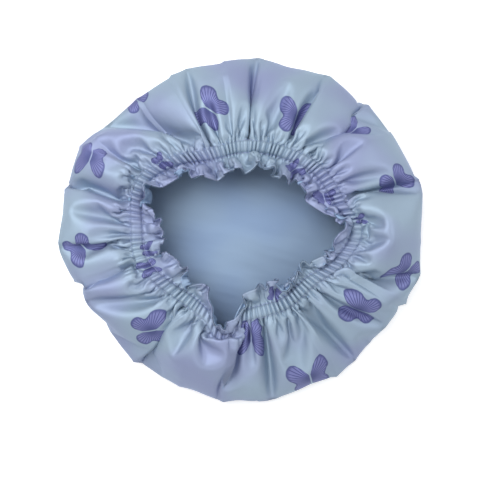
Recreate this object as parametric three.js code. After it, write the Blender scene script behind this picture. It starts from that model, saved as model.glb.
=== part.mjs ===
// A satin hair bonnet, laid on its crown with the elasticated mouth facing up.
// Millimetres, +Z up. The origin is the middle of the face that the bonnet rests on.
// Two cloth discs, a printed outer and a plain lining, are sewn together at the rim and turned
// through. Two stitch rows make a casing, an elastic in it gathers the mouth, and the cloth
// past the casing stands as a frill.
import * as THREE from "three";

// Plan: the laid-out edge and the mouth, as mean radii and the amounts that they depart from them.
const LAID_RADIUS = 158;
const MOUTH_RADIUS = 88;
// Bearing of each main fold's ridge, and how far it stands out from LAID_RADIUS.
const RIDGE_DEGREES = [
  15, 34, 46, 62, 84, 98, 116, 129, 141, 153, 168, 185, 197, 230, 247, 262, 274, 301, 335, 356,
];
const RIDGE_OFFSETS = [4, 4, 3, -2, -2, 0, -5, -4, -2, -4, 8, 5, 3, -4, -8, -3, -2, -2, 4, 6];
// Bearing of points of the outer stitch row, and how far each lies from MOUTH_RADIUS.
const MOUTH_DEGREES = [0, 14, 40, 62, 90, 116, 139, 155, 179, 197, 213, 230, 246, 259, 269, 300, 322, 343];
const MOUTH_OFFSETS = [14, 3, -2, -8, -11, -11, 4, 15, 11, 11, 2, -4, -1, 13, -7, -10, -10, 5];

// Height of the slack wall.
const MOUTH_HEIGHT = 44;
const EDGE_HEIGHT = 13.5;
const EDGE_ROLL = 16;
// Places on the wall between the mouth and the laid-out edge, as shares of that span.
const SHOULDER_SHARE = 0.86;
const BACK_SHARE = 0.5;
const GATHER_SHARE = 0.17;
// Height of the wall at those places, as a share of the rise from the edge to the mouth.
const SHOULDER_RISE_SHARE = 0.48;
const BACK_RISE_SHARE = 0.88;
const GATHER_RISE_SHARE = 1.01;
// Bearing of the top of each main fold and the bottom of each valley, and how far it stands above the
// slack wall.
const FOLD_DEGREES = [
  9, 15, 19, 27, 32, 47, 57, 64, 69, 83, 87, 92, 100, 105, 112, 117, 128, 138, 147, 151, 159, 166, 170, 186,
  191, 199, 218, 226, 235, 247, 265, 269, 273, 279, 283, 289, 294, 303, 310, 316, 326, 338, 343, 353,
];
const FOLD_OFFSETS = [
  10, -8, 3, 0, 7, -6, 3, -12, 1, 0, -11, 0, -11, 0, -6, 0, -20, -1, 4, -3, 7, -9, 5, 2,
  10, -2, 2, -10, 3, 7, -1, -14, -2, -9, 0, 1, -8, 0, -18, -2, 2, -5, 8, 13,
];
// A valley with at least this share of the deepest one's depth is a crease, which a column of facets
// follows.
const CREASE_SHARE = 0.22;
// How much of a fold's height each place on the wall takes.
const EDGE_FOLD_SHARE = 0.1;
const SHOULDER_FOLD_SHARE = 0.7;
const BACK_FOLD_SHARE = 0.9;
const GATHER_FOLD_SHARE = 0.3;

// The hem: casing, frill and what is sewn into them.
const ELASTIC_WIDTH = 7;
const ELASTIC_THICKNESS = 0.9;
const ELASTIC_LAP_DEGREES = [62, 73];
const CASING_EASE = 1.5;
const FRILL_WIDTH = 19;
const FRILL_DEPTH = 4;
const FRILL_TILT_DEGREES = 24;
const CASING_TILT_DEGREES = -8;

// Cloth and thread.
const CLOTH = 0.5;
const PLY_GAP = 0.5;
const THREAD = 0.4;
const CLEARANCE = 0.3;
const LAP_STITCHES = 5;
const TURNING_GAP_DEGREES = [201, 225];

// Fineness of the facets: about how many degrees each takes.
const FACET_DEGREES = 6.6;

const DEGREE = Math.PI / 180;
const TURN_DEGREES = 360;
const DOWN = new THREE.Vector3(0, 0, -1);
const halfGap = PLY_GAP / 2;
const casingWidth = ELASTIC_WIDTH + 2 * CASING_EASE;
// How far from a stitch row the casing has swollen to its full gap.
const swell = CASING_EASE - CLEARANCE;
// The elastic winds half a lift out and half a lift in, so that its ends lap over each other.
const lapLift = ELASTIC_THICKNESS + CLEARANCE;
const halfCasingGap = lapLift / 2 + ELASTIC_THICKNESS / 2 + THREAD + 2 * CLEARANCE;
// The frill's slopes narrow a gap, so threads there get half as much again.
const threadClearance = 1.5 * CLEARANCE;
const halfRimGap = THREAD / 2 + threadClearance;
const threadOffset = halfGap + CLOTH + threadClearance + THREAD / 2;
const rowShift = THREAD / 2 + CLEARANCE / 2;
// The flat strip past the inner row, which the frill rises from.
const stitchFoot = rowShift + THREAD + CLEARANCE;

const satin = new THREE.MeshStandardMaterial({ color: 0xb4bedb, roughness: 0.36, metalness: 0 });
const liningSatin = new THREE.MeshStandardMaterial({ color: 0x8fa9cc, roughness: 0.4, metalness: 0 });
const elasticRubber = new THREE.MeshStandardMaterial({ color: 0xf1f0ec, roughness: 0.85, metalness: 0 });
const lilacThread = new THREE.MeshStandardMaterial({ color: 0xa9b1d3, roughness: 0.6, metalness: 0 });
const blueThread = new THREE.MeshStandardMaterial({ color: 0x86a0c4, roughness: 0.6, metalness: 0 });

const ridges = RIDGE_DEGREES.map((bearing, i) => [bearing, RIDGE_OFFSETS[i]]);
const folds = FOLD_DEGREES.map((bearing, i) => [bearing, FOLD_OFFSETS[i]]);
const mouthPoints = MOUTH_DEGREES.map((bearing, i) => [bearing, MOUTH_OFFSETS[i]]);

// The pair of listed points that a bearing lies between, their bearings unwrapped, and those outside them.
function neighbours(points, bearing) {
  const n = points.length;
  const after = points.findIndex(([b]) => b > bearing);
  const i = (after < 0 ? n : after) + n - 1;
  const at = (k) => {
    const [b, offset] = points[(i + k) % n];
    return [b + TURN_DEGREES * (Math.floor((i + k) / n) - 1), offset];
  };
  return [at(-1), at(0), at(1), at(2)];
}

// Radius of the laid-out edge: straight chords from ridge to ridge, as taut cloth lies.
function edgeRadius(bearing) {
  const [, [b0, o0], [b1, o1]] = neighbours(ridges, bearing);
  const r0 = LAID_RADIUS + o0;
  const r1 = LAID_RADIUS + o1;
  const before = Math.sin((bearing - b0) * DEGREE);
  const after = Math.sin((b1 - bearing) * DEGREE);
  return (r0 * r1 * Math.sin((b1 - b0) * DEGREE)) / (r0 * after + r1 * before);
}

// Radius of the outer stitch row: a smooth curve through its points.
function mouthRadius(bearing) {
  const [[ba, oa], [b0, o0], [b1, o1], [bb, ob]] = neighbours(mouthPoints, bearing);
  const span = b1 - b0;
  const t = (bearing - b0) / span;
  const slope0 = ((o1 - oa) / (b1 - ba)) * span;
  const slope1 = ((ob - o0) / (bb - b0)) * span;
  const rise = o1 - o0;
  const square = 3 * rise - 2 * slope0 - slope1;
  const cube = slope0 + slope1 - 2 * rise;
  return MOUTH_RADIUS + o0 + t * (slope0 + t * (square + t * cube));
}

// Height of the main folds at a bearing, from the top of one to the bottom of the next.
function foldHeight(bearing) {
  const [, [b0, h0], [b1, h1]] = neighbours(folds, bearing);
  return h0 + ((h1 - h0) * (bearing - b0)) / (b1 - b0);
}

// Bearings of the columns of facets, from crease to crease.
const deepest = Math.min(...FOLD_OFFSETS);
const creases = FOLD_DEGREES.filter((_, i) => FOLD_OFFSETS[i] < CREASE_SHARE * deepest);
const columns = creases.flatMap((start, i) => {
  const end = i + 1 < creases.length ? creases[i + 1] : creases[0] + TURN_DEGREES;
  const steps = Math.round((end - start) / FACET_DEGREES);
  return Array.from({ length: steps }, (_, k) => (start + ((end - start) * k) / steps) % TURN_DEGREES);
});
const COLUMNS = columns.length;
const wrap = (i) => (i + COLUMNS) % COLUMNS;
// The frill rises and falls from one column to the next.
const frillWave = (i) => Math.cos((2 * Math.PI * Math.floor(COLUMNS / 2) * i) / COLUMNS);

function columnAt(bearing) {
  const away = columns.map((column) => Math.abs(column - bearing));
  return away.indexOf(Math.min(...away));
}

const [lapStart, lapEnd] = ELASTIC_LAP_DEGREES.map(columnAt);

// The cloth's middle surface along one column, from the floor to the rim: radius, height, the depth that the
// folds add there, and half the gap between the two plies.
function stations(bearing, i) {
  const edge = edgeRadius(bearing);
  const mouth = mouthRadius(bearing);
  const span = edge - mouth;
  const floor = CLOTH + halfGap;
  const fold = foldHeight(bearing);
  const inwardAt = (tilt) => new THREE.Vector2(-Math.cos(tilt * DEGREE), Math.sin(tilt * DEGREE));
  const across = inwardAt(CASING_TILT_DEGREES);
  const frill = inwardAt(FRILL_TILT_DEGREES);
  const onWall = (name, share, rise, depth) => ({
    name,
    r: mouth + span * share,
    z: EDGE_HEIGHT + (MOUTH_HEIGHT - EDGE_HEIGHT) * rise,
    depth: depth * fold,
    gap: halfGap,
  });
  const onCasing = (name, distance, gap) => ({
    name,
    r: mouth + across.x * distance,
    z: MOUTH_HEIGHT + across.y * distance,
    depth: 0,
    gap,
  });
  const foot = onCasing("frill foot", casingWidth + stitchFoot, halfGap);
  return [
    { name: "floor", r: edge - EDGE_ROLL, z: floor, depth: 0, gap: halfGap },
    onWall("edge", 1, 0, EDGE_FOLD_SHARE),
    onWall("shoulder", SHOULDER_SHARE, SHOULDER_RISE_SHARE, SHOULDER_FOLD_SHARE),
    onWall("back", BACK_SHARE, BACK_RISE_SHARE, BACK_FOLD_SHARE),
    onWall("gather", GATHER_SHARE, GATHER_RISE_SHARE, GATHER_FOLD_SHARE),
    onCasing("outer row", 0, halfGap),
    onCasing("outer swell", swell, halfCasingGap),
    onCasing("inner swell", casingWidth - swell, halfCasingGap),
    onCasing("inner row", casingWidth, halfGap),
    foot,
    {
      name: "rim",
      r: foot.r + frill.x * FRILL_WIDTH,
      z: foot.z + frill.y * FRILL_WIDTH,
      depth: FRILL_DEPTH * frillWave(i),
      gap: halfRimGap,
    },
  ];
}
const firstLine = stations(columns[0], 0);
const ringNamed = (name) => firstLine.findIndex((s) => s.name === name);
const OUTER_ROW = ringNamed("outer row");
const INNER_ROW = ringNamed("inner row");
const RIM = ringNamed("rim");

// Points of the middle surface, as rings of columns, with the folds laid square to the meridian.
function middleSurface() {
  const lines = columns.map((bearing, c) => {
    const line = stations(bearing, c);
    const cosine = Math.cos(bearing * DEGREE);
    const sine = Math.sin(bearing * DEGREE);
    return line.map((s, i) => {
      const before = line[Math.max(i - 1, 0)];
      const after = line[Math.min(i + 1, line.length - 1)];
      const along = new THREE.Vector2(after.r - before.r, after.z - before.z).normalize();
      const r = s.r + along.y * s.depth;
      return new THREE.Vector3(r * cosine, r * sine, s.z - along.x * s.depth);
    });
  });
  return lines[0].map((_, ring) => lines.map((line) => line[ring]));
}

const surface = middleSurface();
const gaps = firstLine.map((s) => s.gap);

// Outward direction of the printed side at each point. The floor ring stays square to the floor.
const outward = surface.map((ring, k) =>
  ring.map((_, i) => {
    if (k === 0) return DOWN.clone();
    const around = new THREE.Vector3().subVectors(ring[wrap(i + 1)], ring[wrap(i - 1)]);
    const after = surface[Math.min(k + 1, RIM)][i];
    const along = new THREE.Vector3().subVectors(after, surface[k - 1][i]);
    return around.cross(along).normalize();
  }),
);

const offset = (ring, i, distance) => surface[ring][i].clone().addScaledVector(outward[ring][i], distance);

function geometryOf(points, triangles) {
  const geometry = new THREE.BufferGeometry().setFromPoints(points);
  geometry.setIndex(triangles);
  geometry.computeVertexNormals();
  return geometry;
}

// A thin closed solid between two faces, each given as rings from the middle out. Both faces are cut into
// triangles the same way, so that sheets laid one on another stay clear of each other.
function skinSheet(outside, inside) {
  const n = outside[0].length;
  const rings = outside.length;
  const pole = (face) => new THREE.Vector3(0, 0, face[0][0].z);
  const points = [pole(outside), pole(inside), ...outside.flat(), ...inside.flat()];
  const at = (face, ring, i) => 2 + (face * rings + ring) * n + (i % n);
  const triangles = [];
  for (let i = 0; i < n; i += 1) {
    triangles.push(0, at(0, 0, i + 1), at(0, 0, i));
    triangles.push(1, at(1, 0, i), at(1, 0, i + 1));
    for (let k = 0; k + 1 < rings; k += 1) {
      triangles.push(at(0, k, i), at(0, k, i + 1), at(0, k + 1, i));
      triangles.push(at(0, k, i + 1), at(0, k + 1, i + 1), at(0, k + 1, i));
      triangles.push(at(1, k, i), at(1, k + 1, i), at(1, k, i + 1));
      triangles.push(at(1, k, i + 1), at(1, k + 1, i), at(1, k + 1, i + 1));
    }
    triangles.push(at(0, rings - 1, i), at(0, rings - 1, i + 1), at(1, rings - 1, i));
    triangles.push(at(0, rings - 1, i + 1), at(1, rings - 1, i + 1), at(1, rings - 1, i));
  }
  return geometryOf(points, triangles);
}

// A closed solid skinned over sections, either round a loop or capped at both ends.
function skinAlong(sections, isLoop) {
  const n = sections[0].length;
  const count = sections.length;
  const at = (k, i) => (k % count) * n + (i % n);
  const triangles = [];
  for (let k = 0; k + (isLoop ? 0 : 1) < count; k += 1) {
    for (let i = 0; i < n; i += 1) {
      triangles.push(at(k, i), at(k, i + 1), at(k + 1, i));
      triangles.push(at(k, i + 1), at(k + 1, i + 1), at(k + 1, i));
    }
  }
  for (let i = 1; i + 1 < n && !isLoop; i += 1) {
    triangles.push(at(0, 0), at(0, i + 1), at(0, i));
    triangles.push(at(count - 1, 0), at(count - 1, i), at(count - 1, i + 1));
  }
  return geometryOf(sections.flat(), triangles);
}

// A rectangle round a centre, across one direction and through another.
function rectangle(centre, across, width, through, thickness) {
  const corner = (a, b) =>
    centre.clone().addScaledVector(across, (a * width) / 2).addScaledVector(through, (b * thickness) / 2);
  return [corner(-1, -1), corner(1, -1), corner(1, 1), corner(-1, 1)];
}

// A thread's section: three-sided, flat side to the cloth.
function threadSection(centre, across, through) {
  const [left, right, upRight, upLeft] = rectangle(centre, across, THREAD, through, THREAD);
  return [left, right, upRight.lerp(upLeft, 0.5)];
}

// One cloth disc, gathered: the ply on the printed side of the middle surface, or the one on the other side.
function clothDisc(side) {
  const face = (thickness) =>
    surface.map((ring, k) => ring.map((_, i) => offset(k, i, side * (gaps[k] + thickness))));
  const near = face(0);
  const far = face(CLOTH);
  return side > 0 ? skinSheet(far, near) : skinSheet(near, far);
}

// A needle or bobbin thread of a stitch row, lying on one ply at the foot of the casing.
function rowThread(ring, side) {
  const shift = ring === OUTER_ROW ? -rowShift : rowShift;
  const sections = columns.map((_, i) => {
    const { across, out } = casingAt(i);
    const centre = surface[ring][i].clone();
    centre.addScaledVector(across, shift).addScaledVector(out, side * threadOffset);
    return threadSection(centre, across, out);
  });
  return skinAlong(sections, true);
}

// Section of a thread past the rim. It lies as the casing does, so that the thread isn't twisted by the frill.
function rimSection(i, ply, beyond) {
  const { across, out } = casingAt(i);
  const frill = new THREE.Vector3().subVectors(surface[RIM][i], surface[RIM - 1][i]).normalize();
  return threadSection(offset(RIM, i, ply).addScaledVector(frill, beyond), across, out);
}

// The seam thread that holds the two plies' edges together at the rim.
function rimThread() {
  const sections = columns.map((_, i) => rimSection(i, 0, THREAD / 2 + CLEARANCE));
  return skinAlong(sections, true);
}

// Middle of the casing at a column: its centre, the way across it and the way out of it.
function casingAt(column) {
  const i = wrap(column);
  const outer = surface[OUTER_ROW][i];
  const inner = surface[INNER_ROW][i];
  return {
    centre: outer.clone().add(inner).multiplyScalar(0.5),
    across: inner.clone().sub(outer).normalize(),
    out: outward[OUTER_ROW + 1][i].clone().add(outward[INNER_ROW - 1][i]).normalize(),
  };
}

// The flat elastic: a strip that goes once round the casing, with its ends lapped.
function elasticBand() {
  const steps = COLUMNS + lapEnd - lapStart;
  const sections = Array.from({ length: steps + 1 }, (_, k) => {
    const { centre, across, out } = casingAt(lapStart + k);
    centre.addScaledVector(out, lapLift * (0.5 - k / steps));
    return rectangle(centre, across, ELASTIC_WIDTH, out, ELASTIC_THICKNESS);
  });
  return skinAlong(sections, false);
}

// The zigzag that sews the lapped ends together, on the lap's outer face.
function lapZigzag() {
  const lift = lapLift / 2 + ELASTIC_THICKNESS / 2 + CLEARANCE + THREAD / 2;
  const reach = ELASTIC_WIDTH / 2 - 2 * THREAD;
  const first = casingAt(lapStart);
  const last = casingAt(lapEnd);
  const step = first.centre.distanceTo(last.centre) / (LAP_STITCHES + 1);
  const slantedWidth = (THREAD * Math.hypot(step, 2 * reach)) / step;
  const sections = Array.from({ length: LAP_STITCHES + 1 }, (_, k) => {
    const share = (k + 0.5) / (LAP_STITCHES + 1);
    const between = (key) => first[key].clone().lerp(last[key], share);
    const [centre, across, out] = ["centre", "across", "out"].map(between);
    centre.addScaledVector(out, lift).addScaledVector(across, k % 2 ? reach : -reach);
    return rectangle(centre, across, slantedWidth, out, THREAD);
  });
  return skinAlong(sections, false);
}

// Slip stitches that close the gap the bonnet was turned through: from ply to ply over the rim.
function turningGapStitches() {
  const [first, last] = TURNING_GAP_DEGREES.map(columnAt);
  const sections = [];
  for (let i = first; i <= last; i += 1) {
    const ply = (i % 2 ? 1 : -1) * (halfRimGap + CLOTH / 2);
    sections.push(rimSection(i, ply, 1.5 * THREAD + 2 * CLEARANCE));
  }
  return skinAlong(sections, false);
}

const bonnet = new THREE.Group();

function addPiece(name, geometry, material) {
  const piece = new THREE.Mesh(geometry, material);
  piece.name = name;
  bonnet.add(piece);
}

addPiece("outer_shell", clothDisc(1), satin);
addPiece("lining", clothDisc(-1), liningSatin);
addPiece("elastic_band", elasticBand(), elasticRubber);
addPiece("elastic_lap_stitching", lapZigzag(), lilacThread);
addPiece("casing_outer_row_needle_thread", rowThread(OUTER_ROW, 1), lilacThread);
addPiece("casing_outer_row_bobbin_thread", rowThread(OUTER_ROW, -1), blueThread);
addPiece("casing_inner_row_needle_thread", rowThread(INNER_ROW, 1), lilacThread);
addPiece("casing_inner_row_bobbin_thread", rowThread(INNER_ROW, -1), blueThread);
addPiece("rim_seam_thread", rimThread(), lilacThread);
addPiece("turning_gap_stitches", turningGapStitches(), lilacThread);

// The laid-out edge is uneven, so the pieces are moved to put the middle of its box on the origin.
const middle = new THREE.Box3().setFromObject(bonnet).getCenter(new THREE.Vector3());
bonnet.position.set(-middle.x, -middle.y, 0);

const part = new THREE.Group();
part.add(bonnet);
export default part;
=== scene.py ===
import math

import bpy
import numpy as np
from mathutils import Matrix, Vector


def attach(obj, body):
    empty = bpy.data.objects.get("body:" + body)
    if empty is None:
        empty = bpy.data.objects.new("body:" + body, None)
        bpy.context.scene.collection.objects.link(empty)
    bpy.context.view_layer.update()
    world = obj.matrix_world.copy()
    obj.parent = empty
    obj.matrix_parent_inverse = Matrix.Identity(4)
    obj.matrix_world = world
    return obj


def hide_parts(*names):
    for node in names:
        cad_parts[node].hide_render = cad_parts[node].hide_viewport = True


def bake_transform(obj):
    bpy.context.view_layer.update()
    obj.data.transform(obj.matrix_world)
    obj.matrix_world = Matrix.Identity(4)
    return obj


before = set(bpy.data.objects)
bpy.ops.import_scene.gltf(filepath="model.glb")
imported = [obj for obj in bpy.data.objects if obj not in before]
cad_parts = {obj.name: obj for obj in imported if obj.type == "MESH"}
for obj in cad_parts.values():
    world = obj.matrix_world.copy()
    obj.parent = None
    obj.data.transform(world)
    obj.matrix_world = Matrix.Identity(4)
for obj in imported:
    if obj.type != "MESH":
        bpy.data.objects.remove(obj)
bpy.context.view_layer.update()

MM = 0.001
DEGREE = math.pi / 180

# Plan of the laid-out bonnet in millimetres, with the solids' own values. Bearings are degrees round CENTRE.
CENTRE = (0.5, -0.09)
# Ridges of the laid-out edge: bearing, and how far each lies beyond LAID_RADIUS.
LAID_RADIUS = 158.0
RIDGES = [
    (15, 4), (34, 4), (46, 3), (62, -2), (84, -2), (98, 0), (116, -5), (129, -4), (141, -2), (153, -4),
    (168, 8), (185, 5), (197, 3), (230, -4), (247, -8), (262, -3), (274, -2), (301, -2), (335, 4), (356, 6),
]
# Points of the outer stitch row: bearing, and how far each lies beyond MOUTH_RADIUS.
MOUTH_RADIUS = 88.0
MOUTH_POINTS = [
    (0, 14), (14, 3), (40, -2), (62, -8), (90, -11), (116, -11), (139, 4), (155, 15), (179, 11),
    (197, 11), (213, 2), (230, -4), (246, -1), (259, 13), (269, -7), (300, -10), (322, -10), (343, 5),
]
MOUTH_HEIGHT = 44.0
CASING_TILT = -8 * DEGREE

# Cloth along a meridian, from the ring where it leaves the floor.
WALL_LENGTH = 110.0
CASING_WIDTH = 10.0
FRILL_WIDTH = 20.0
FLOOR_HEIGHT = 0.4
CLOTH = 0.3
# Half the gap between the plies' middles, and what the lining keeps besides on the wall, up to the gathers.
HALF_PLY_GAP = 0.35
LINING_EASE = 0.4
EASE_ENDS = (80, 100)
# Room for the elastic on each side of the casing's middle, and more where its ends are lapped.
ELASTIC_ROOM = 0.9
LAP_ROOM = [(67, 9, 0.8)]
# The turned edge at the rim is thicker than the plies, because the seam allowance lies in it. Its thickness
# runs out with the distance from the rim, over which each ply's edge turns in.
RIM_BEAD = 0.75
RIM_BEAD_DISTANCES = [0, 0.8, 1.6, 2.6]
RIM_BEAD_SHARES = [1, 1, 0.2, 0]
RIM_TURN = 62 * DEGREE

# Gathers of the casing: how many go round, how high they are, and where the elastic leaves them flatter.
GATHERS = 112
GATHER_HEIGHT = 1.3
FLAT_GATHERS = [(243, 10, 0.7)]
# The frill at bearings: its lean above the way in, and how far the ruffles swing that, both in degrees.
FRILL = [
    (4, 125, 20), (12, 45, 45), (24, 28, 42), (45, 20, 30), (60, 22, 32), (70, 36, 45), (84, 52, 58),
    (98, 48, 50), (108, 30, 36), (118, 26, 36), (130, 38, 52), (146, 40, 50), (157, 96, 30), (166, 58, 40),
    (176, 22, 28), (200, 18, 28), (215, 18, 25), (226, 24, 12), (236, 72, 5), (246, 98, 3), (254, 122, 2),
    (262, 132, 0), (266, 95, 10), (271, 45, 50), (280, 25, 35), (300, 15, 25), (320, 20, 30), (334, 34, 46),
    (350, 55, 52), (357, 125, 20),
]
# Ruffles: how many go round, how far past the stitches they have opened, and how round their lobes are.
RUFFLES = 26
RUFFLE_OPEN = 5.0
LOBE_ROUND = 0.6
FRILL_SAMPLES = 21
# Unevenness of gathers and ruffles: its size, then its seed and the fewest and most waves a turn.
GATHER_SPACING_STRAY, GATHER_SPACING_NOISE = 1.1, (5, 5, 30)
GATHER_SIZE_STRAY, GATHER_SIZE_NOISE = 0.2, (6, 3, 14)
RUFFLE_SPACING_STRAY, RUFFLE_SPACING_NOISE = 1.2, (7, 3, 15)
RUFFLE_SWING_STRAY, RUFFLE_SWING_NOISE = 0.2, (8, 3, 14)
RUFFLE_LEAN_STRAY, RUFFLE_LEAN_NOISE = 5, (9, 6, 20)

# Valleys of the wall's main folds: bearing, half width in degrees, depth against the others.
VALLEYS = [
    (87, 2.5, 1.2), (75, 3, 0.7), (63, 3, 0.7), (46, 4, 1.3), (37, 3, 0.9), (15, 3, 0.8), (-4, 5, 1.0),
    (-23, 3, 1.2), (-40, 3, 0.4), (-52, 5, 1.5), (-66, 3, 0.8), (-80, 3, 0.8), (-93, 3, 1.3),
    (-108, 3, 0.5), (-131, 3, 1.2), (-148, 4, 0.6), (-162, 3, 1.3), (176, 3, 0.8), (164, 3, 1.2),
    (150, 3, 0.4), (141, 3, 1.0), (131, 4, 1.2), (112, 3, 0.8), (100, 3, 0.5),
]
VALLEY_DEPTH = 7.0
# How deep the valleys are along the meridian, as shares of that.
VALLEY_PLACES = [0, 25, 75, 110]
VALLEY_SHARES = [0, 0.4, 1, 0.6]

# The simulated grid. The solver works best on cloth some metres wide, so the bag is simulated enlarged.
SIM_COLUMNS = 480
SIM_ROW = 3.4
SIM_SCALE = 10 * MM
DRAW_FRAMES = 26
SETTLE_FRAMES = 14
FINE_COLUMNS = 2 * SIM_COLUMNS
# The table under the enlarged bag, in metres.
TABLE_HALF = 4.0
TABLE_SKIN = 0.005
# A light, smooth satin with a little air inside the bag.
SATIN_CLOTH = {
    "mass": 0.2,
    "tension_stiffness": 25,
    "compression_stiffness": 25,
    "shear_stiffness": 8,
    "bending_stiffness": 5,
    "bending_stiffness_max": 9,
    "bending_damping": 0.5,
    "air_damping": 2,
    "use_pressure": True,
    "uniform_pressure_force": 1.4,
}
GRAVITY_SHARE = 0.5
CLOTH_CLEARANCE = 0.01

# Places along the meridian where the simulated rows lie.
WALL_ROWS = round(WALL_LENGTH / SIM_ROW)
CASING_ROWS = 3
FRILL_ROWS = 6
FLOOR_PLACES = [-12, -8, -4]
CASING_PLACES = [WALL_LENGTH + CASING_WIDTH * k / CASING_ROWS for k in range(1, CASING_ROWS + 1)]
INNER_ROW_PLACE = WALL_LENGTH + CASING_WIDTH
RIM_PLACE = INNER_ROW_PLACE + FRILL_WIDTH
FRILL_PLACES = [INNER_ROW_PLACE + FRILL_WIDTH * k / FRILL_ROWS for k in range(1, FRILL_ROWS + 1)]
SIM_PLACES = np.concatenate(
    [FLOOR_PLACES, np.linspace(0, WALL_LENGTH, WALL_ROWS + 1), CASING_PLACES, FRILL_PLACES]
)
FIRST_FREE = len(FLOOR_PLACES) + 1
OUTER_ROW = len(FLOOR_PLACES) + WALL_ROWS
INNER_ROW = OUTER_ROW + CASING_ROWS
# Rows of the frill past the casing that are set. The solver drapes the rest.
FOOT_ROWS = 3
# Radius of the cloth before it is drawn in, beyond the laid-out edge, at places along the meridian.
CUT_PLACES = [-12, 0, 23, 46, 75, 100, 110, 120, 140]
CUT_BEYOND = [-28, -16, -2, 1, 0, -3, -9, -26, -32]

# Rows of the finished cloth: coarse ones on the wall, fine ones from where the gathers begin to the rim.
GATHER_PLACE = 92.0
GATHER_ROWS = 8
COARSE_PLACES = [p for p in SIM_PLACES if p < GATHER_PLACE]
GATHER_PLACES = np.linspace(GATHER_PLACE, WALL_LENGTH, GATHER_ROWS, endpoint=False)
CASING_SHARES = np.array([0, 0.06, 0.16, 0.35, 0.65, 0.84, 0.94, 1])
FRILL_STEPS = np.array([1.3, 2.8, 4.6, 6.6, 8.8, 11, 13.2, 15.2, 16.8, 17.8, 18.6, 19.3, 20])
RIM_STEPS = np.array([0.3, 0.6])
HEM_PLACES = WALL_LENGTH + CASING_WIDTH * CASING_SHARES
FINE_PLACES = np.concatenate([COARSE_PLACES, GATHER_PLACES, HEM_PLACES, INNER_ROW_PLACE + FRILL_STEPS])
COARSE_ROWS = len(COARSE_PLACES)
FIRST_CASING = COARSE_ROWS + GATHER_ROWS
FIRST_FRILL = FIRST_CASING + len(CASING_SHARES)
SWELL_SHARE = 1 - np.abs(2 * CASING_SHARES - 1) ** 6
# Rings of the crown's flat middle, as shares of the outermost one, with their number of columns.
CROWN_RINGS = [
    (0.06, 30), (0.14, 60), (0.24, 60), (0.36, 120), (0.48, 120), (0.6, 240), (0.72, 240), (0.86, 480),
]
# The lining lies this far above the outer cloth on the crown, and comes down to it between these places.
LINING_LIFT = 1.2
LINING_LIFT_ENDS = (-12, 4)
# Its slack there lies in waves: height, run along x and y, length, bend and start. They end between two radii.
LINING_WAVES = [(1.6, 0.35, 1, 21, 0.8, 0), (1.1, 1, -0.6, 33, 0, 1)]
BEND_LENGTH = 40
WAVE_SHARE = 0.45
WAVE_ENDS = (95, 128)

# Butterflies of the print: where each lies on the plan, which way it heads and its half span.
BUTTERFLIES = [
    (-31, 106, 148, 24), (45, 99, 76, 24), (97, 88, 40, 15), (133, 41, -57, 22), (140, -37, -129, 24),
    (100, -70, 170, 26), (58, -131, 109, 26), (6, -93, -93, 24), (-82, -89, 5, 24), (-142, -14, -52, 22),
    (-133, 62, -109, 22), (-108, 127, 140, 20), (-73, 58, 60, 12), (43, 52, 30, 12), (68, 28, 100, 13),
    (-84, -18, 20, 10), (-84, -34, 200, 13), (26, -56, 85, 10), (101, 9, 0, 9),
]
# The print begins here along the meridian. Faces past PRINT_REACH half spans have none: NO_PRINT marks them.
PRINT_START = 15
PRINT_REACH = 1.5
NO_PRINT = 9.0
# Puts the crown out of every butterfly's reach.
FAR_OFF = 1000.0
# Outline of a butterfly's right half: reach of the wings at angles up from straight back, as shares of a
# half turn.
WING_OUTLINE = [
    (0, 0.14), (0.06, 0.5), (0.12, 0.74), (0.2, 0.82), (0.3, 0.79), (0.38, 0.66), (0.44, 0.56), (0.5, 0.6),
    (0.58, 0.78), (0.68, 0.94), (0.76, 1), (0.81, 0.9), (0.86, 0.6), (0.92, 0.28), (1, 0.1),
]
# Where the print changes: as shares of the outline at its edge and margin, else in half spans.
WING_EDGE = (0.96, 1.02)
WING_MARGIN = (0.8, 0.97)
BODY_GAP = (0.012, 0.04)
WING_ROOT = (0.08, 0.4)
VEIN_WIDTH = (0.005, 0.024)
VEIN_SPACING = 9 * DEGREE
VEIN_DARK, MARGIN_DARK, ROOT_DARK = 0.85, 0.8, 0.6
WING_PAINT = ("#787bb0", "#363a72")

# Satin: its two close ground colours, the length and width of its soft ripples, and how strong those are.
OUTER_SATIN = ("#9099bc", "#98abbe", (14, 14), 0.14)
LINING_SATIN = ("#8aa1c2", "#90a6c1", (110, 26), 0.65)
SATIN_ROUGHNESS = 0.53
SATIN_METAL = 0.3
DRIFT_SIZE = 60
DRIFT_ENDS = (0.35, 0.65)
RIPPLE_TURN = -15 * DEGREE
RIPPLE_DEPTH = 2.5
RIPPLE_HEIGHT = 30
WEAVE_SIZE = 0.6
WEAVE_DEPTH = 0.15
WEAVE_STRENGTH = 0.1

# Sewing: a thread's radius and sides, how far its stitches dip, how high they lie on the cloth, the length of
# its twist, and how far the rows lie outside the casing, as a share of the cloth's next row.
THREAD_RADIUS = 0.22
THREAD_SIDES = 5
THREAD_DIP = 0.05
THREAD_LIE = CLOTH / 2 + 0.8 * THREAD_RADIUS
THREAD_TWIST = 0.8
ROW_OFFSET = 0.3
STITCH_COLUMNS = 3
RIM_SEAM_ROW = -4
# Slip stitches over the rim: the bearings of the gap they close, the columns between them and their turn.
TURNING_GAP = (201, 225)
SLIP_STITCH_STEP = 5
SLIP_TURN = 120 * DEGREE
SLIP_POINTS = 9
ELASTIC_KNIT = 1.2
ELASTIC_KNIT_DEPTH = 0.4

# Camera: how far from CENTRE it stands over the plan, its height in metres and its lens.
CAMERA_BESIDE = (4.5, -18)
CAMERA_HEIGHT = 0.7
CAMERA_LENS = 54.4
CAMERA_SENSOR = 36
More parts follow.
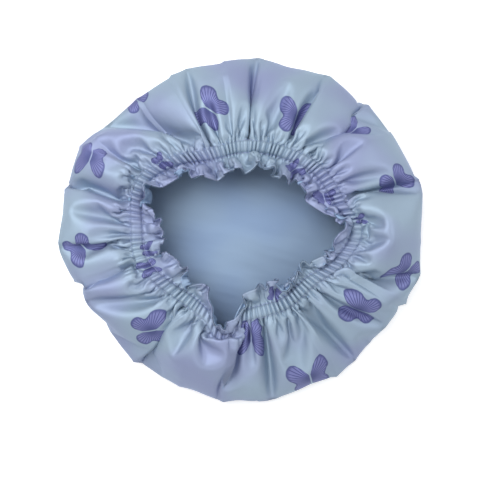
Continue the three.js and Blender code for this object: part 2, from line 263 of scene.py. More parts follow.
# Lamps: name, place in metres, width and power. They shine at the folds, and the world lights the shadows.
LAMPS = [
    ("key", (-0.62, 0.52, 1.2), 1.4, 17),
    ("side", (0.95, 0.3, 0.8), 0.9, 4.5),
    ("low", (0.0, -1.0, 0.8), 0.9, 3),
]
LAMP_TARGET = (0, 0, 0.03)
WORLD_LIGHT = 0.12
FLOOR_GLOW = 0.5
FLOOR_HALF = 3.0


def neighbour_values(points, bearing, value):
    """value(bearings, offsets, k) for the closed list of (bearing, offset) points, k being the one before."""
    b, o = np.array(points, float).T
    b = np.concatenate([b[-2:] - 360, b, b[:3] + 360])
    o = np.concatenate([o[-2:], o, o[:3]])
    return value(b, o, np.searchsorted(b, bearing, side="right") - 1)


def edge_radius(bearing):
    """Radius of the laid-out edge: chords from ridge to ridge, as taut cloth lies."""

    def chord(b, o, k):
        r0, r1 = LAID_RADIUS + o[k], LAID_RADIUS + o[k + 1]
        before = np.sin((bearing - b[k]) * DEGREE)
        after = np.sin((b[k + 1] - bearing) * DEGREE)
        return r0 * r1 * np.sin((b[k + 1] - b[k]) * DEGREE) / (r0 * after + r1 * before)

    return neighbour_values(RIDGES, bearing, chord)


def hermite(t, start, end, start_slope, end_slope):
    """A cubic from start to end with those slopes, at t from 0 to 1."""
    rise = end - start
    square = 3 * rise - 2 * start_slope - end_slope
    cube = start_slope + end_slope - 2 * rise
    return start + t * (start_slope + t * (square + t * cube))


def mouth_radius(bearing):
    """Radius of the outer stitch row: a smooth curve through its points."""

    def smooth(b, o, k):
        span = b[k + 1] - b[k]
        slope = (o[k + 1] - o[k - 1]) / (b[k + 1] - b[k - 1]) * span
        next_slope = (o[k + 2] - o[k]) / (b[k + 2] - b[k]) * span
        return MOUTH_RADIUS + hermite((bearing - b[k]) / span, o[k], o[k + 1], slope, next_slope)

    return neighbour_values(MOUTH_POINTS, bearing, smooth)


def bearings(columns):
    return np.arange(columns) * 360 / columns


def bumps(spots, bearing):
    """Sum of bell-shaped bumps, each given as (bearing, half width, size)."""
    total = np.zeros_like(bearing)
    for place, width, size in spots:
        away = (bearing - place + 180) % 360 - 180
        total += size * np.exp(-0.5 * (away / width) ** 2)
    return total


def ring_noise(bearing, seed, low, high):
    """Smooth noise round a ring with low to high waves a turn, about 1 in size."""
    rng = np.random.default_rng(seed)
    total = np.zeros_like(bearing)
    for k in range(low, high + 1):
        total += rng.normal() * np.cos(k * bearing * DEGREE) + rng.normal() * np.sin(k * bearing * DEGREE)
    return total / math.sqrt(high - low + 1)


def round_centre(radius, bearing, height):
    """Points at a radius and a bearing round CENTRE."""
    x = CENTRE[0] + radius * np.cos(bearing * DEGREE)
    y = CENTRE[1] + radius * np.sin(bearing * DEGREE)
    return np.stack(np.broadcast_arrays(x, y, height), axis=-1)


def rows_at(rows, places, wanted):
    """Rows at wanted places along the meridian: cubics through the given rows."""
    step = np.diff(places)[:, None, None]
    slope = np.diff(rows, axis=0) / step
    tangent = np.concatenate([slope[:1], (slope[1:] + slope[:-1]) / 2, slope[-1:]])
    k = np.clip(np.searchsorted(places, wanted, side="right") - 1, 0, len(places) - 2)
    t = ((wanted - places[k]) / step[k, 0, 0])[:, None, None]
    return hermite(t, rows[k], rows[k + 1], tangent[k] * step[k], tangent[k + 1] * step[k])


def unit(vectors):
    return vectors / np.maximum(np.linalg.norm(vectors, axis=-1, keepdims=True), 1e-9)


def gather_size(bearing):
    """Height of the casing's gathers, which are uneven."""
    uneven = GATHER_SIZE_STRAY * ring_noise(bearing, *GATHER_SIZE_NOISE).clip(-2, 2)
    return GATHER_HEIGHT * (1 + uneven - bumps(FLAT_GATHERS, bearing))


def gather_wave(bearing):
    """The fine gathers at the stitch rows, unevenly spaced."""
    phase = GATHERS * bearing * DEGREE + GATHER_SPACING_STRAY * ring_noise(bearing, *GATHER_SPACING_NOISE)
    return gather_size(bearing) * np.cos(phase)


def hem_points(bearing, across):
    """The two plies' middle on the casing, that far in from the outer stitch row."""
    radius = mouth_radius(bearing) - across * math.cos(CASING_TILT)
    height = MOUTH_HEIGHT + across * math.sin(CASING_TILT) + gather_wave(bearing)
    return round_centre(radius, bearing, height)


def frill_rows(bearing, distances):
    """Rows of the plies' middle on the frill, at distances past the inner stitch row. It leaves the casing
    flat and opens into ruffles, whose lobes lean in and out by turns."""
    places, leans, swings = np.array(FRILL, float).T
    phase = RUFFLES * bearing * DEGREE + RUFFLE_SPACING_STRAY * ring_noise(bearing, *RUFFLE_SPACING_NOISE)
    uneven = 1 + RUFFLE_SWING_STRAY * ring_noise(bearing, *RUFFLE_SWING_NOISE).clip(-2, 2)
    swing = uneven * np.interp(bearing, places, swings, period=360) * np.cos(phase)
    lean = np.interp(bearing, places, leans, period=360)
    lean = lean + RUFFLE_LEAN_STRAY * ring_noise(bearing, *RUFFLE_LEAN_NOISE) + swing
    steps = np.linspace(0, distances[-1], FRILL_SAMPLES)
    opened = np.clip(steps / RUFFLE_OPEN, 0, 1)[:, None]
    opened = opened**2 * (3 - 2 * opened)
    angle = CASING_TILT + (lean * DEGREE - CASING_TILT) * opened
    step = steps[1] * np.sign(steps)[:, None]
    inward = np.cumsum(step * np.cos(angle), axis=0)
    upward = np.cumsum(step * np.sin(angle), axis=0)
    radius = mouth_radius(bearing) - CASING_WIDTH * math.cos(CASING_TILT) - inward
    height = MOUTH_HEIGHT + CASING_WIDTH * math.sin(CASING_TILT) + upward
    height = height + (1 - opened) * gather_wave(bearing)
    turned = bearing + LOBE_ROUND / RUFFLES / DEGREE * np.sin(2 * phase) * opened
    return rows_at(round_centre(radius, turned, height), steps, distances)


def open_bag(bearing):
    """The bag before its mouth is drawn in: each ring has its own length of cloth."""
    beyond = np.interp(SIM_PLACES, CUT_PLACES, CUT_BEYOND)
    rise = np.sqrt(np.maximum(np.diff(SIM_PLACES) ** 2 - np.diff(beyond) ** 2, 0))
    rise[: FIRST_FREE - 1] = 0
    height = FLOOR_HEIGHT + np.concatenate([[0], np.cumsum(rise)])
    radius = edge_radius(bearing) + beyond[:, None]
    return radius, np.repeat(height[:, None], len(bearing), axis=1)


def drawn_in(rest, bearing):
    """The bag's held rows at the end: the floor as it was, the casing and the frill's foot at the mouth."""
    target = rest.copy()
    for row in range(OUTER_ROW, INNER_ROW + 1):
        target[row] = hem_points(bearing, SIM_PLACES[row] - WALL_LENGTH)
    foot = slice(INNER_ROW + 1, INNER_ROW + 1 + FOOT_ROWS)
    target[foot] = frill_rows(bearing, SIM_PLACES[foot] - INNER_ROW_PLACE)
    return target


def new_object(name, points, faces):
    mesh = bpy.data.meshes.new(name)
    mesh.from_pydata(points, [], faces)
    piece = bpy.data.objects.new(name, mesh)
    bpy.context.collection.objects.link(piece)
    return piece


def flat_square(name, half):
    corners = [(-half, -half, 0), (half, -half, 0), (half, half, 0), (-half, half, 0)]
    return new_object(name, corners, [(0, 1, 2, 3)])


def shape_key(piece, name, points):
    key = piece.shape_key_add(name=name)
    key.data.foreach_set("co", (points * SIM_SCALE).reshape(-1))
    return key


def vertex_group(piece, name, rows):
    group = piece.vertex_groups.new(name=name)
    for row in rows:
        group.add(list(range(row * SIM_COLUMNS, (row + 1) * SIM_COLUMNS)), 1.0, "REPLACE")
    return name


def satin_cloth(bag, rest_key):
    """The solver's cloth on the bag, whose floor rows, casing and frill's foot are held."""
    cloth = bag.modifiers.new("satin", "CLOTH")
    settings = cloth.settings
    settings.quality = 6
    for name, value in SATIN_CLOTH.items():
        setattr(settings, name, value)
    settings.effector_weights.gravity = GRAVITY_SHARE
    settings.rest_shape_key = rest_key
    held = list(range(FIRST_FREE)) + list(range(OUTER_ROW, INNER_ROW + 1 + FOOT_ROWS))
    settings.vertex_group_mass = vertex_group(bag, "held", held)
    settings.vertex_group_bending = vertex_group(bag, "wall", range(OUTER_ROW))
    settings.vertex_group_pressure = "wall"
    cloth.collision_settings.distance_min = CLOTH_CLEARANCE
    return cloth


def bag_faces(rows):
    faces = []
    for r in range(rows - 1):
        low, high = r * SIM_COLUMNS, (r + 1) * SIM_COLUMNS
        for i in range(SIM_COLUMNS):
            j = (i + 1) % SIM_COLUMNS
            faces.append((low + i, low + j, high + j, high + i))
    return faces


def drawn_bag():
    """The cloth after its mouth is drawn in by the solver: rows by columns by 3, in millimetres."""
    bearing = bearings(SIM_COLUMNS)
    radius, height = open_bag(bearing)
    rest = round_centre(radius, bearing, height)
    dent = bumps(VALLEYS, bearing)
    depth = np.interp(SIM_PLACES, VALLEY_PLACES, VALLEY_SHARES, left=0, right=0)
    dented = radius - VALLEY_DEPTH * depth[:, None] * (dent - dent.mean())
    start = round_centre(dented, bearing, height)
    rows = len(SIM_PLACES)
    bag = new_object("bag", (start * SIM_SCALE).reshape(-1, 3).tolist(), bag_faces(rows))
    shape_key(bag, "start", start)
    rest_key = shape_key(bag, "cut", rest)
    gathered = shape_key(bag, "gathered", drawn_in(rest, bearing))
    for value, frame_number in ((0, 1), (1, DRAW_FRAMES)):
        gathered.value = value
        gathered.keyframe_insert("value", frame=frame_number)
    table = flat_square("table", TABLE_HALF)
    table.modifiers.new("hit", "COLLISION")
    table.collision.thickness_outer = TABLE_SKIN
    cloth = satin_cloth(bag, rest_key)
    last = DRAW_FRAMES + SETTLE_FRAMES
    cloth.point_cache.frame_start = 1
    cloth.point_cache.frame_end = last
    scene = bpy.context.scene
    scene.frame_start, scene.frame_end = 1, last
    for frame_number in range(1, last + 1):
        scene.frame_set(frame_number)
    shaped = bag.evaluated_get(bpy.context.evaluated_depsgraph_get())
    points = np.empty(rows * SIM_COLUMNS * 3)
    shaped.data.vertices.foreach_get("co", points)
    for piece in (bag, table):
        bpy.data.objects.remove(piece, do_unlink=True)
    scene.frame_set(1)
    return points.reshape(rows, SIM_COLUMNS, 3) / SIM_SCALE


def finer_columns(rows):
    """Rows of points with FINE_COLUMNS each, smoothly through the given ones."""
    n = rows.shape[1]
    spectrum = np.fft.rfft(rows, axis=1)
    spectrum[:, n // 2] *= 0.5
    return np.fft.irfft(spectrum, FINE_COLUMNS, axis=1) * (FINE_COLUMNS / n)


def middle_of_plies(bag):
    """The plies' middle surface at the finished rows, with the casing's gathers drawn exactly."""
    bearing = bearings(FINE_COLUMNS)
    middle = rows_at(finer_columns(bag), SIM_PLACES, FINE_PLACES)
    for k, share in enumerate(CASING_SHARES):
        middle[FIRST_CASING + k] = hem_points(bearing, CASING_WIDTH * share)
    return middle


def grid_normals(rows):
    """Unit normals of a ring grid, out of the printed side."""
    around = np.roll(rows, -1, axis=1) - np.roll(rows, 1, axis=1)
    return unit(np.cross(around, np.gradient(rows, axis=0)))


def ply_rows(middle, side):
    """One ply: side 1 is the printed one, -1 the lining. Its last rows turn in over the rim."""
    normal = grid_normals(middle)
    ease = LINING_EASE if side < 0 else 0
    gap = HALF_PLY_GAP + ease * np.interp(FINE_PLACES, EASE_ENDS, [1, 0])
    bead = np.interp(RIM_PLACE - FINE_PLACES, RIM_BEAD_DISTANCES, RIM_BEAD_SHARES)
    gap = np.maximum(gap, RIM_BEAD * bead)
    rows = middle + side * gap[:, None, None] * normal
    bearing = bearings(FINE_COLUMNS)
    room = ELASTIC_ROOM + bumps(LAP_ROOM, bearing) + gather_size(bearing)
    rows[FIRST_CASING:FIRST_FRILL, :, 2] += side * SWELL_SHARE[:, None] * room
    along = unit(middle[-1] - middle[-2])
    turned = []
    for angle in (RIM_TURN / 2, RIM_TURN):
        turned.append(middle[-1] + RIM_BEAD * (math.sin(angle) * along + side * math.cos(angle) * normal[-1]))
    return np.concatenate([rows, turned])


def lining_waves(points):
    """How high the lining lies over the crown: slack cloth in a few soft, slanting waves."""
    x, y = points[:, 0], points[:, 1]
    wave = np.zeros_like(x)
    for height, along_x, along_y, length, bend, start in LINING_WAVES:
        bent = bend * np.sin(x / BEND_LENGTH)
        wave += height * np.sin((along_x * x + along_y * y) / length + bent + start)
    room = np.interp(np.hypot(x, y), WAVE_ENDS, [1, 0])
    return LINING_LIFT + room * (LINING_LIFT + WAVE_SHARE * wave)


def crown_rings(first_row, side):
    """Rings of the crown inside the cloth's first row. The lining there lies in low, broad waves."""
    rings = []
    for share, count in CROWN_RINGS:
        ring = first_row[:: len(first_row) // count].copy()
        ring[:, :2] = np.array(CENTRE) + share * (ring[:, :2] - np.array(CENTRE))
        ring[:, 2] = FLOOR_HEIGHT
        if side < 0:
            ring[:, 2] += lining_waves(ring)
        rings.append(ring)
    return rings


def sewn_rings(rows, side):
    """All rings of one ply from the crown's middle to the rim, clear of the floor and of the other ply."""
    coarse = [row[::2] for row in rows[:COARSE_ROWS]]
    for row, place in zip(coarse, COARSE_PLACES):
        lowest = FLOOR_HEIGHT / 2
        if side < 0:
            lowest = FLOOR_HEIGHT + LINING_LIFT * np.interp(place, LINING_LIFT_ENDS, [1, 0])
        row[:, 2] = np.maximum(row[:, 2], lowest)
    return crown_rings(rows[0], side) + coarse + list(rows[COARSE_ROWS:])


def ring_faces(counts, side):
    """Faces over rings of those counts, the first of which closes on a pole. A ring may have as many
    columns as the one before it, or twice as many."""
    faces = []
    first = 1
    for i in range(counts[0]):
        faces.append((0, first + (i + 1) % counts[0], first + i))
    for count, after in zip(counts, counts[1:]):
        second = first + count
        times = after // count
        for i in range(count):
            far = [second + (times * i + k) % after for k in range(times, -1, -1)]
            faces.append((first + i, first + (i + 1) % count, *far))
        first = second
    return faces if side > 0 else [face[::-1] for face in faces]


def smooth_piece(name, points, faces, material):
    piece = new_object(name, points, faces)
    piece.data.polygons.foreach_set("use_smooth", [True] * len(piece.data.polygons))
    piece.data.materials.append(material)
    return piece


def ply_piece(name, rows, side, material):
    """A ply as a mesh without thickness."""
    rings = sewn_rings(rows, side)
    pole = rings[0].mean(axis=0)[None]
    points = np.concatenate([pole, *rings]) * MM
    return smooth_piece(name, points.tolist(), ring_faces([len(r) for r in rings], side), material)


def thicken(piece):
    solid = piece.modifiers.new("cloth", "SOLIDIFY")
    solid.thickness = CLOTH * MM
    solid.offset = 0
    bpy.ops.object.select_all(action="DESELECT")
    bpy.context.view_layer.objects.active = piece
    bpy.ops.object.modifier_apply(modifier=solid.name)


def vertex_places(rows):
    """The row and column that each vertex of a ply comes from, and whether it lies on the crown."""
    crown = 1 + sum(count for _, count in CROWN_RINGS)
    row_of, column_of = [0] * crown, [0] * crown
    for r in range(len(rows)):
        columns = range(0, FINE_COLUMNS, 2 if r < COARSE_ROWS else 1)
        row_of += [r] * len(columns)
        column_of += columns
    return np.array(row_of), np.array(column_of), np.arange(len(row_of)) < crown


def face_corners(mesh):
    """Each corner's vertex and face, and each face's first corner."""
    vertex_of = np.empty(len(mesh.loops), int)
    mesh.loops.foreach_get("vertex_index", vertex_of)
    starts = np.empty(len(mesh.polygons), int)
    mesh.polygons.foreach_get("loop_start", starts)
    face_of = np.repeat(np.arange(len(starts)), np.diff(np.append(starts, len(vertex_of))))
    return vertex_of, face_of, starts


def print_coordinates(piece, rows):
    """A map that gives each face its place in the nearest butterfly, in half spans of the flat cloth."""
    step = np.linalg.norm(np.roll(rows, -1, axis=1) - rows, axis=-1)
    ring_place = np.concatenate([np.zeros((len(rows), 1)), np.cumsum(step, axis=1)], axis=1)
    places = np.concatenate([FINE_PLACES, RIM_PLACE + RIM_STEPS])
    row_of, column_of, on_crown = vertex_places(rows)
    vertex_of, face_of, starts = face_corners(piece.data)
    ring_length = ring_place[row_of, -1]
    best = np.full(len(starts), PRINT_REACH)
    uv = np.full((len(vertex_of), 2), NO_PRINT)
    for x, y, heading, half_span in BUTTERFLIES:
        away = np.hypot(rows[:, :, 0] - x - CENTRE[0], rows[:, :, 1] - y - CENTRE[1])
        away[places < PRINT_START] = np.inf
        r0, c0 = np.unravel_index(np.argmin(away), away.shape)
        across = ring_place[row_of, column_of] - ring_place[row_of, c0]
        across = (across + ring_length / 2) % ring_length - ring_length / 2
        up = np.where(on_crown, FAR_OFF, places[row_of] - places[r0])
        turn = heading * DEGREE - (c0 * 360 / FINE_COLUMNS + 90) * DEGREE
        sideways = math.sin(turn) * across - math.cos(turn) * up
        forwards = math.cos(turn) * across + math.sin(turn) * up
        local = np.stack([sideways, forwards], -1) / half_span
        nearest = np.minimum.reduceat(np.hypot(*local.T)[vertex_of], starts)
        better = nearest < best
        best[better] = nearest[better]
        uv[better[face_of]] = local[vertex_of][better[face_of]]
    piece.data.uv_layers.new(name="print").data.foreach_set("uv", uv.reshape(-1))


def colour(hex_text):
    """sRGB hex to linear RGBA."""
    parts = [int(hex_text[i : i + 2], 16) / 255 for i in (1, 3, 5)]
    return [c / 12.92 if c <= 0.04045 else ((c + 0.055) / 1.055) ** 2.4 for c in parts] + [1.0]


def node(tree, kind, inputs, output=0, **settings):
    """Adds a node and returns an output of it, if it has any. inputs gives sockets, in order or by name, a
    value or the output that feeds them; settings are the node's own properties."""
    made = tree.nodes.new(kind)
    for name, value in settings.items():
        setattr(made, name, value)
    for name, value in inputs.items() if isinstance(inputs, dict) else enumerate(inputs):
        if isinstance(value, bpy.types.NodeSocket):
            tree.links.new(made.inputs[name], value)
        else:
            made.inputs[name].default_value = value
    return made.outputs[output] if made.outputs else None


# Sockets of the Mix node that hold colours, beside the factor at 0.
MIX_FIRST, MIX_SECOND, MIX_RESULT = 6, 7, 2


def new_material(name):
    material = bpy.data.materials.new(name)
    material.use_nodes = True
    material.node_tree.nodes.clear()
    return material, material.node_tree


def butterfly_print(tree, ground):
    """Purple butterflies over the ground colour: two pairs of wings with dark veins and margins."""
    place = node(tree, "ShaderNodeUVMap", (), uv_map="print")
    side = node(tree, "ShaderNodeSeparateXYZ", (place,), "X")
    up = node(tree, "ShaderNodeSeparateXYZ", (place,), "Y")
    side = node(tree, "ShaderNodeMath", (side,), operation="ABSOLUTE")
    angle = node(tree, "ShaderNodeMath", (up, side), operation="ARCTAN2")
    reach = node(tree, "ShaderNodeVectorMath", (place,), "Value", operation="LENGTH")
    half_turn = node(tree, "ShaderNodeMath", (angle, 1 / math.pi, 0.5), operation="MULTIPLY_ADD")
    outline = node(tree, "ShaderNodeFloatCurve", {"Value": half_turn})
    curve = outline.node.mapping.curves[0]
    curve.points[0].location, curve.points[1].location = WING_OUTLINE[0], WING_OUTLINE[-1]
    for spot in WING_OUTLINE[1:-1]:
        curve.points.new(*spot)
    outline.node.mapping.update()
    share = node(tree, "ShaderNodeMath", (reach, outline), operation="DIVIDE")
    spread = node(tree, "ShaderNodeMath", (angle, VEIN_SPACING / 2), operation="PINGPONG")
    from_vein = node(tree, "ShaderNodeMath", (spread, reach), operation="MULTIPLY")
    fade = {"interpolation_type": "SMOOTHSTEP"}
    wing = node(tree, "ShaderNodeMapRange", (share, *WING_EDGE, 1, 0), **fade)
    beside_body = node(tree, "ShaderNodeMapRange", (side, *BODY_GAP, 0, 1), **fade)
    vein = node(tree, "ShaderNodeMapRange", (from_vein, *VEIN_WIDTH, VEIN_DARK, 0), **fade)
    margin = node(tree, "ShaderNodeMapRange", (share, *WING_MARGIN, 0, MARGIN_DARK), **fade)
    root = node(tree, "ShaderNodeMapRange", (reach, *WING_ROOT, ROOT_DARK, 0), **fade)
    dark = node(tree, "ShaderNodeMath", (vein, margin), operation="MAXIMUM")
    dark = node(tree, "ShaderNodeMath", (dark, root), operation="MAXIMUM")
    wing = node(tree, "ShaderNodeMath", (wing, beside_body), operation="MULTIPLY")
    pale_paint, dark_paint = (colour(paint) for paint in WING_PAINT)
    inputs = {0: dark, MIX_FIRST: pale_paint, MIX_SECOND: dark_paint}
    paint = node(tree, "ShaderNodeMix", inputs, MIX_RESULT, data_type="RGBA")
    inputs = {0: wing, MIX_FIRST: ground, MIX_SECOND: paint}
    return node(tree, "ShaderNodeMix", inputs, MIX_RESULT, data_type="RGBA")


def shot_ground(tree, place, first, second):
    """A colour that drifts between two close ones, as shot satin does."""
    inputs = {"Vector": place, "Scale": 1 / (DRIFT_SIZE * MM), "Detail": 1.0}
    drift = node(tree, "ShaderNodeTexNoise", inputs)
    drift = node(tree, "ShaderNodeMapRange", (drift, *DRIFT_ENDS), interpolation_type="SMOOTHSTEP")
    inputs = {0: drift, MIX_FIRST: colour(first), MIX_SECOND: colour(second)}
    return node(tree, "ShaderNodeMix", inputs, MIX_RESULT, data_type="RGBA")


def cloth_relief(tree, place, ripple_mm, crumple):
    """Fine weave over soft ripples of that length and width. Real satin's threads are 0.1 mm; these are
    drawn coarser so that they show."""
    sizes = [size * MM for size in (*ripple_mm, RIPPLE_HEIGHT)]
    inputs = {"Vector": place, "Rotation": (0, 0, RIPPLE_TURN), "Scale": sizes}
    ripple_place = node(tree, "ShaderNodeMapping", inputs, vector_type="TEXTURE")
    ripple = node(tree, "ShaderNodeTexNoise", {"Vector": ripple_place, "Scale": 1.0, "Detail": 2.0})
    inputs = {"Vector": place, "Scale": 1 / (WEAVE_SIZE * MM), "Detail": 1.0}
    weave = node(tree, "ShaderNodeTexNoise", inputs)
    inputs = {"Height": ripple, "Strength": crumple, "Distance": RIPPLE_DEPTH * MM}
    soft = node(tree, "ShaderNodeBump", inputs)
    inputs = {"Height": weave, "Strength": WEAVE_STRENGTH, "Distance": WEAVE_DEPTH * MM, "Normal": soft}
    return node(tree, "ShaderNodeBump", inputs)


def satin(name, first, second, ripple_mm, crumple, printed):
    """Polyester charmeuse: long floats give a broad, bluish gloss over a lilac ground, so folds turn pale
    where they face a lamp and purple where they turn away."""
    material, tree = new_material(name)
    place = node(tree, "ShaderNodeTexCoord", (), "Object")
    ground = shot_ground(tree, place, first, second)
    inputs = {
        "Base Color": butterfly_print(tree, ground) if printed else ground,
        "Roughness": SATIN_ROUGHNESS,
        "Metallic": SATIN_METAL,
        "Specular IOR Level": 0.7,
        "Specular Tint": colour("#d8f0ff"),
        "Sheen Weight": 0.12,
        "Sheen Roughness": 0.35,
        "Sheen Tint": colour("#cfe4ff"),
        "Normal": cloth_relief(tree, place, ripple_mm, crumple),
    }
    node(tree, "ShaderNodeOutputMaterial", (node(tree, "ShaderNodeBsdfPrincipled", inputs),))
    return material


def sewing_thread(name, first, second):
    """Spun polyester thread: matt, with the slanting lines of its two plies."""
    material, tree = new_material(name)
    place = node(tree, "ShaderNodeTexCoord", (), "Object")
    # A wave texture's lines lie 0.3 of its unit apart.
    inputs = {"Vector": place, "Scale": 0.3 / (THREAD_TWIST * MM), "Distortion": 2.0}
    twist = node(tree, "ShaderNodeTexWave", inputs, "Fac")
    inputs = {0: twist, MIX_FIRST: colour(first), MIX_SECOND: colour(second)}
    shade = node(tree, "ShaderNodeMix", inputs, MIX_RESULT, data_type="RGBA")
    inputs = {"Base Color": shade, "Roughness": 0.6, "Sheen Weight": 0.2}
    node(tree, "ShaderNodeOutputMaterial", (node(tree, "ShaderNodeBsdfPrincipled", inputs),))
    return material


def knitted_elastic():
    """Flat knitted elastic: off-white polyester over rubber, with a close, knobbly knit."""
    material, tree = new_material("knitted elastic")
    place = node(tree, "ShaderNodeTexCoord", (), "Object")
    knit = node(tree, "ShaderNodeTexVoronoi", {"Vector": place, "Scale": 1 / (ELASTIC_KNIT * MM)})
    inputs = {0: knit, MIX_FIRST: colour("#dcdad2"), MIX_SECOND: colour("#f4f2ec")}
    shade = node(tree, "ShaderNodeMix", inputs, MIX_RESULT, data_type="RGBA")
    inputs = {"Height": knit, "Strength": 0.5, "Distance": ELASTIC_KNIT_DEPTH * MM}
    relief = node(tree, "ShaderNodeBump", inputs)
    inputs = {"Base Color": shade, "Roughness": 0.8, "Sheen Weight": 0.3, "Normal": relief}
    node(tree, "ShaderNodeOutputMaterial", (node(tree, "ShaderNodeBsdfPrincipled", inputs),))
    return material


def background_rays(tree):
    """1 for the rays that show the background as it is: straight, reflected or through something."""
    shown = node(tree, "ShaderNodeLightPath", (), "Is Camera Ray")
    for way in ("Is Glossy Ray", "Is Transmission Ray"):
        other = node(tree, "ShaderNodeLightPath", (), way)
        shown = node(tree, "ShaderNodeMath", (shown, other), operation="MAXIMUM")
    return shown


def floor_paper():
    """White paper: matt, and seen as white as the background while it still takes the bonnet's shadow."""
    material, tree = new_material("floor paper")
    paper = node(tree, "ShaderNodeBsdfPrincipled", {"Base Color": colour("#f4f4f4"), "Roughness": 0.9})
    white = node(tree, "ShaderNodeEmission", {"Color": colour("#ffffff"), "Strength": FLOOR_GLOW})
    glowing = node(tree, "ShaderNodeAddShader", (paper, white))
    shown = node(tree, "ShaderNodeMixShader", (background_rays(tree), paper, glowing))
    node(tree, "ShaderNodeOutputMaterial", (shown,))
    return material


def strand(points, path, facing, closed):
    """Vertices and faces of a thread along points. path is its unit direction, facing points beside it."""
    across = unit(np.cross(path, facing))
    out = np.cross(across, path)
    turns = [2 * math.pi * k / THREAD_SIDES for k in range(THREAD_SIDES)]
    rings = [points + THREAD_RADIUS * (math.cos(a) * across + math.sin(a) * out) for a in turns]
    vertices = np.stack(rings, axis=1).reshape(-1, 3)
    count = len(points)
    faces = []
    for i in range(count if closed else count - 1):
        near, far = i * THREAD_SIDES, (i + 1) % count * THREAD_SIDES
        for k in range(THREAD_SIDES):
            after = (k + 1) % THREAD_SIDES
            faces.append((near + k, far + k, far + after, near + after))
    if not closed:
        last = (count - 1) * THREAD_SIDES
        faces.append(tuple(range(THREAD_SIDES)))
        faces.append(tuple(last + k for k in reversed(range(THREAD_SIDES))))
    return vertices, faces


def ring_strand(points, facing):
    """A closed thread along a ring of points."""
    path = unit(np.roll(points, -1, axis=0) - np.roll(points, 1, axis=0))
    return strand(points, path, facing, True)


def row_stitches(ply, side, row, inward):
    """A row of lockstitch on one ply: the thread lies on the cloth and dips at every needle hole."""
    normal = side * grid_normals(ply)[row]
    beside = ply[row] + inward * (ply[row + 1] - ply[row])
    lift = np.where(np.arange(FINE_COLUMNS) % STITCH_COLUMNS == 0, -THREAD_DIP, THREAD_LIE)
    return ring_strand(beside + lift[:, None] * normal, normal)


def slip_stitches(middle):
    """Hand stitches over the rim, where the gap that the bonnet was turned through was closed."""
    first, last = (round(b / 360 * FINE_COLUMNS) for b in TURNING_GAP)
    normal = grid_normals(middle)[-1]
    along = unit(middle[-1] - middle[-2])
    reach = RIM_BEAD + CLOTH / 2 + THREAD_RADIUS / 2
    turns = np.linspace(-SLIP_TURN, SLIP_TURN, SLIP_POINTS)[:, None]
    strands = []
    for c in range(first, last, SLIP_STITCH_STEP):
        around = middle[-1, c + 1] - middle[-1, c]
        over = np.cos(turns) * along[c] + np.sin(turns) * normal[c]
        points = middle[-1, c] + reach * over + around * turns / 2
        path = unit(np.gradient(points, axis=0))
        strands.append(strand(points, path, np.cross(along[c], normal[c])[None], False))
    return strands


def thread_piece(name, material, strands):
    """One object of strands, each a pair of vertices and faces, that rides on the hem."""
    vertices, faces = [], []
    for strand_vertices, strand_faces in strands:
        faces += [tuple(v + len(vertices) for v in face) for face in strand_faces]
        vertices += (strand_vertices * MM).tolist()
    piece = smooth_piece(name, vertices, faces, material)
    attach(piece, "hem")
    return piece


def area_light(name, place, size, power):
    data = bpy.data.lights.new(name, "AREA")
    data.shape = "DISK"
    data.size = size
    data.energy = power
    light = bpy.data.objects.new(name, data)
    bpy.context.collection.objects.link(light)
    light.location = place
    light.rotation_euler = (Vector(LAMP_TARGET) - Vector(place)).to_track_quat("-Z", "Y").to_euler()


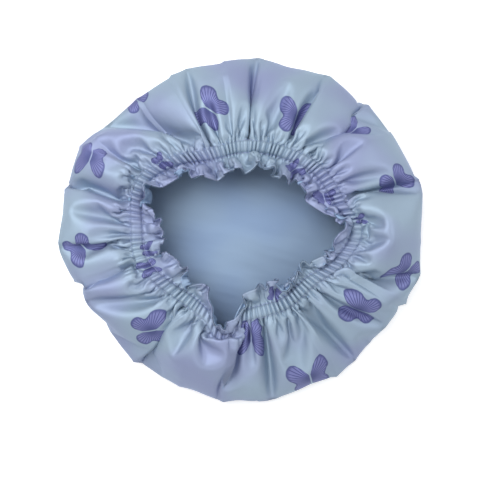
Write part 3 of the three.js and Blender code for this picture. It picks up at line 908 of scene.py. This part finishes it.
def photo_stage():
    """Straight down, on a white floor, light from the upper left."""
    data = bpy.data.cameras.new("camera")
    data.sensor_width = CAMERA_SENSOR
    data.lens = CAMERA_LENS
    camera = bpy.data.objects.new("camera", data)
    bpy.context.collection.objects.link(camera)
    x, y = ((beside + middle) * MM for beside, middle in zip(CAMERA_BESIDE, CENTRE))
    camera.location = (x, y, CAMERA_HEIGHT)
    scene = bpy.context.scene
    scene.camera = camera
    floor = flat_square("floor", FLOOR_HALF)
    floor.data.materials.append(floor_paper())
    scene.world = bpy.data.worlds.new("studio")
    scene.world.use_nodes = True
    tree = scene.world.node_tree
    tree.nodes.clear()
    inputs = (background_rays(tree), 1 - WORLD_LIGHT, WORLD_LIGHT)
    strength = node(tree, "ShaderNodeMath", inputs, operation="MULTIPLY_ADD")
    background = node(tree, "ShaderNodeBackground", {"Color": colour("#ffffff"), "Strength": strength})
    node(tree, "ShaderNodeOutputWorld", (background,))
    for lamp in LAMPS:
        area_light(*lamp)
    scene.view_settings.view_transform = "Standard"


def cloth_pieces(middle):
    """The two plies from the crown that rests on the floor to the hem, each thickened in place of its plain
    solid.
    """
    outer_rows, lining_rows = ply_rows(middle, 1), ply_rows(middle, -1)
    outer = ply_piece("outer_cloth", outer_rows, 1, satin("printed satin", *OUTER_SATIN, True))
    print_coordinates(outer, outer_rows)
    lining = ply_piece("lining_cloth", lining_rows, -1, satin("lining satin", *LINING_SATIN, False))
    plies = ((outer, "outer_shell", "printed_satin"), (lining, "lining", "lining_satin"))
    for piece, stands_for, slot in plies:
        thicken(piece)
        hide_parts(stands_for)
        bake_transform(piece)
    return outer_rows, lining_rows


def sewing(middle, outer_rows, lining_rows):
    """The stitch rows, the rim's seam and the closed turning gap, each in place of its plain solid."""
    lilac = sewing_thread("lilac thread", "#9ba5cc", "#b4bde0")
    blue = sewing_thread("blue thread", "#7b96bc", "#94abd0")
    rows = (("outer", FIRST_CASING, -ROW_OFFSET), ("inner", FIRST_FRILL - 1, ROW_OFFSET))
    for row_name, row, inward in rows:
        for thread, ply, side, material, slot in (
            ("needle", outer_rows, 1, lilac, "lilac_thread"),
            ("bobbin", lining_rows, -1, blue, "blue_thread"),
        ):
            name = f"casing_{row_name}_row_{thread}"
            piece = thread_piece(name + "_stitches", material, [row_stitches(ply, side, row, inward)])
            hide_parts(name + "_thread")
    rim_seam = ring_strand(middle[RIM_SEAM_ROW], grid_normals(middle)[RIM_SEAM_ROW])
    seam = thread_piece("rim_seam", lilac, [rim_seam])
    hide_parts("rim_seam_thread")
    slips = thread_piece("slip_stitches", lilac, slip_stitches(middle))
    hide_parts("turning_gap_stitches")
    for name, material in (("elastic_band", knitted_elastic()), ("elastic_lap_stitching", lilac)):
        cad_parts[name].data.materials.clear()
        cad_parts[name].data.materials.append(material)


middle = middle_of_plies(drawn_bag())
sewing(middle, *cloth_pieces(middle))
photo_stage()
